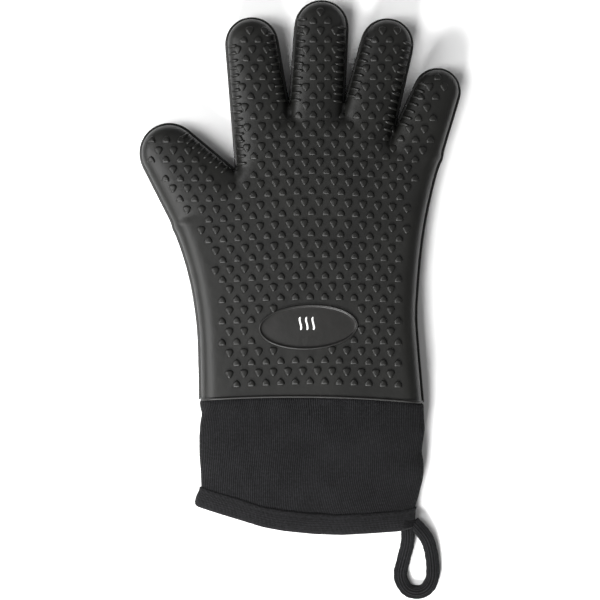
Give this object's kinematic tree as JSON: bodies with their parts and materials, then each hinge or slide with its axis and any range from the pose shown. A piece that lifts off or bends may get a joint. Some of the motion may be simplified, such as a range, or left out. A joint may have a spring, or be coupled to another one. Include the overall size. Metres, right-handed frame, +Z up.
{
  "type": "heat resistant glove",
  "caption": "Long heat resistant glove: textured moulded silicone hand over a cotton liner, with a cloth cuff and a hanging loop.",
  "frame": {"origin": "on the table under the middle of the glove without its hanging loop", "axes": "+Y from the cuff to the fingertips, +X from the thumb to the little finger, +Z up from the face the glove lies on"},
  "size_m": [0.2131, 0.3982, 0.0272],
  "materials": {
    "silicone": "satin moulded silicone",
    "badge_silicone": "satin moulded silicone",
    "white_print": "matt printed ink",
    "liner_cotton": "brushed knit cotton",
    "lining_cotton": "plain woven cotton",
    "cuff_canvas": "ribbed woven canvas",
    "hem_tape": "plain woven bias tape",
    "loop_tape": "folded bias tape",
    "thread": "spun polyester thread"
  },
  "bodies": {
    "palm": {"palm_shell": "silicone", "palm_liner": "liner_cotton", "cuff_collar": "cuff_canvas", "emblem_badge": "badge_silicone", "printed_mark": "white_print"},
    "thumb_base": {"thumb_base_shell": "silicone", "thumb_base_liner": "liner_cotton"},
    "thumb_tip": {"thumb_tip_shell": "silicone", "thumb_tip_liner": "liner_cotton"},
    "index_base": {"index_base_shell": "silicone", "index_base_liner": "liner_cotton"},
    "index_tip": {"index_tip_shell": "silicone", "index_tip_liner": "liner_cotton"},
    "middle_base": {"middle_base_shell": "silicone", "middle_base_liner": "liner_cotton"},
    "middle_tip": {"middle_tip_shell": "silicone", "middle_tip_liner": "liner_cotton"},
    "ring_base": {"ring_base_shell": "silicone", "ring_base_liner": "liner_cotton"},
    "ring_tip": {"ring_tip_shell": "silicone", "ring_tip_liner": "liner_cotton"},
    "little_base": {"little_base_shell": "silicone", "little_base_liner": "liner_cotton"},
    "little_tip": {"little_tip_shell": "silicone", "little_tip_liner": "liner_cotton"},
    "cuff": {"cuff_front_panel": "cuff_canvas", "cuff_back_panel": "cuff_canvas", "cuff_lining": "lining_cotton", "side_seam_threads": "thread", "hem_binding": "hem_tape", "hem_stitching": "thread", "loop_bartack": "thread"},
    "loop": {"hanging_loop": "loop_tape"}
  },
  "joints": [
    {"name": "thumb_root_bend", "type": "hinge", "parent": "palm", "child": "thumb_base", "pos_m": [-0.0704, 0.05604, 0.026], "axis": [0.7817, 0.6236, 0], "range_deg": [0, 50], "stiffness_Nm_per_rad": 0.02},
    {"name": "thumb_middle_bend", "type": "hinge", "parent": "thumb_base", "child": "thumb_tip", "pos_m": [-0.08474, 0.07402, 0.026], "axis": [0.7817, 0.6236, 0], "range_deg": [0, 60], "stiffness_Nm_per_rad": 0.02},
    {"name": "index_root_bend", "type": "hinge", "parent": "palm", "child": "index_base", "pos_m": [-0.02799, 0.11503, 0.026], "axis": [0.9932, 0.1164, 0], "range_deg": [0, 70], "stiffness_Nm_per_rad": 0.02},
    {"name": "index_middle_bend", "type": "hinge", "parent": "index_base", "child": "index_tip", "pos_m": [-0.03101, 0.14076, 0.026], "axis": [0.9932, 0.1164, 0], "range_deg": [0, 80], "stiffness_Nm_per_rad": 0.02},
    {"name": "middle_root_bend", "type": "hinge", "parent": "palm", "child": "middle_base", "pos_m": [0.0116, 0.11698, 0.026], "axis": [0.9981, -0.0621, 0], "range_deg": [0, 70], "stiffness_Nm_per_rad": 0.02},
    {"name": "middle_middle_bend", "type": "hinge", "parent": "middle_base", "child": "middle_tip", "pos_m": [0.0135, 0.14747, 0.026], "axis": [0.9981, -0.0621, 0], "range_deg": [0, 80], "stiffness_Nm_per_rad": 0.02},
    {"name": "ring_root_bend", "type": "hinge", "parent": "palm", "child": "ring_base", "pos_m": [0.04924, 0.11397, 0.026], "axis": [0.9701, -0.2425, 0], "range_deg": [0, 70], "stiffness_Nm_per_rad": 0.02},
    {"name": "ring_middle_bend", "type": "hinge", "parent": "ring_base", "child": "ring_tip", "pos_m": [0.05567, 0.13967, 0.026], "axis": [0.9701, -0.2425, 0], "range_deg": [0, 80], "stiffness_Nm_per_rad": 0.02},
    {"name": "little_root_bend", "type": "hinge", "parent": "palm", "child": "little_base", "pos_m": [0.08147, 0.09199, 0.026], "axis": [0.9344, -0.3563, 0], "range_deg": [0, 70], "stiffness_Nm_per_rad": 0.02},
    {"name": "little_middle_bend", "type": "hinge", "parent": "little_base", "child": "little_tip", "pos_m": [0.08908, 0.11194, 0.026], "axis": [0.9344, -0.3563, 0], "range_deg": [0, 80], "stiffness_Nm_per_rad": 0.02},
    {"name": "cuff_fold", "type": "hinge", "parent": "palm", "child": "cuff", "pos_m": [0.0078, -0.0875, 0.026], "axis": [-1, 0, 0], "range_deg": [0, 45]},
    {"name": "loop_swing", "type": "hinge", "parent": "cuff", "child": "loop", "pos_m": [0.0774, -0.1759, 0.012], "axis": [-1, 0, 0], "range_deg": [0, 150]}
  ]
}
